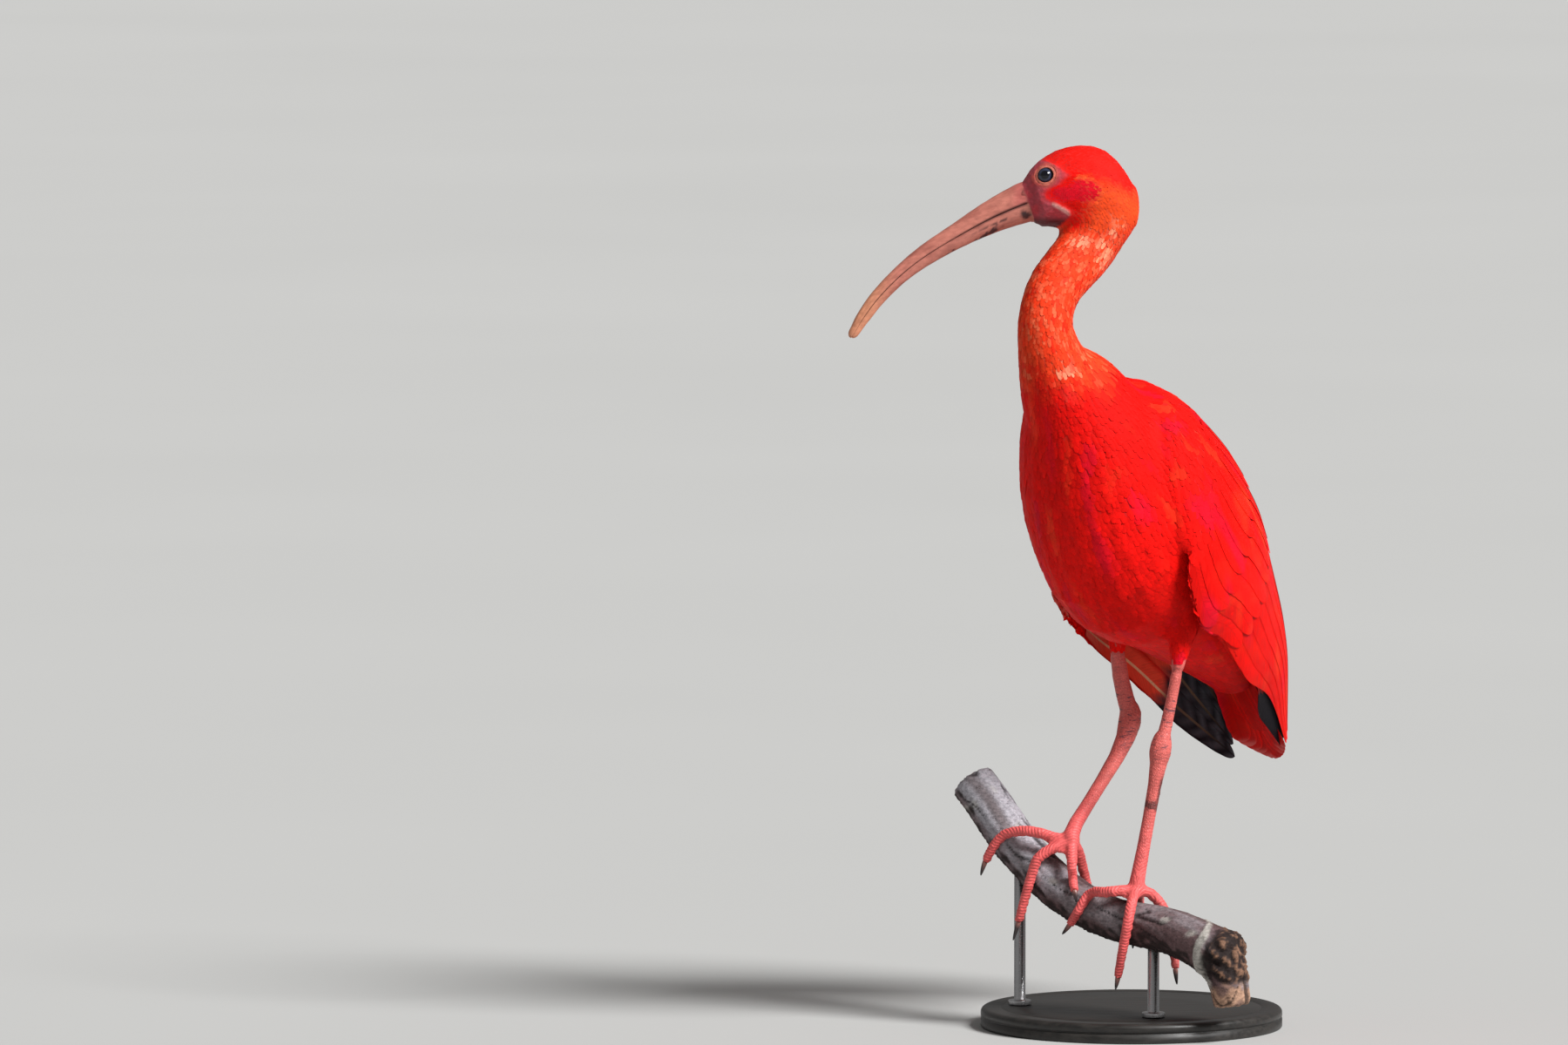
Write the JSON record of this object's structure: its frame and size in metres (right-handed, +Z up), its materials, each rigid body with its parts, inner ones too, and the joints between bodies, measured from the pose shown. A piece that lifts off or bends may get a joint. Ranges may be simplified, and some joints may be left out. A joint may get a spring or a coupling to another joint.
{
  "type": "scarlet ibis",
  "caption": "Life-size still scarlet ibis with a long curved bill, gripping a short cut branch held by a plain round display stand.",
  "frame": {"origin": "centre of the underside of the stand's round base", "axes": "+Z up; the bill points towards -X; the body faces 50 degrees from -X towards -Y"},
  "size_m": [0.2705, 0.2061, 0.5418],
  "materials": {
    "plumage": "soft scarlet feathers, orange-red on the neck",
    "black_tips": "glossy black flight-feather tips",
    "bare_skin": "satin coral-pink scaled skin",
    "bill": "satin horn, pinkish brown with darker flecks",
    "claw": "satin dark horn",
    "eye": "wet gloss, dark grey-blue iris",
    "bark": "weathered grey-brown bark",
    "stand_base": "satin black lacquer",
    "stand_rod": "brushed"
  },
  "bodies": {
    "root": {"head": "plumage", "neck_upper": "plumage", "neck_middle": "plumage", "neck_lower": "plumage", "breast": "plumage", "rump": "plumage", "wing_left": "plumage", "wing_right": "plumage", "tail": "plumage", "thigh_left": "plumage", "thigh_right": "plumage", "wing_tip_left": "black_tips", "wing_tip_right": "black_tips", "shank_left": "bare_skin", "shank_right": "bare_skin", "foot_left": "bare_skin", "foot_right": "bare_skin", "toe_inner_left": "bare_skin", "toe_middle_left": "bare_skin", "toe_outer_left": "bare_skin", "toe_hind_left": "bare_skin", "toe_inner_right": "bare_skin", "toe_middle_right": "bare_skin", "toe_outer_right": "bare_skin", "toe_hind_right": "bare_skin", "bill_upper": "bill", "bill_lower": "bill", "claw_inner_left": "claw", "claw_middle_left": "claw", "claw_outer_left": "claw", "claw_hind_left": "claw", "claw_inner_right": "claw", "claw_middle_right": "claw", "claw_outer_right": "claw", "claw_hind_right": "claw", "eye_left": "eye", "eye_right": "eye", "perch_branch": "bark", "stand_base": "stand_base", "stand_rod_front": "stand_rod", "stand_rod_rear": "stand_rod"}
  },
  "joints": []
}
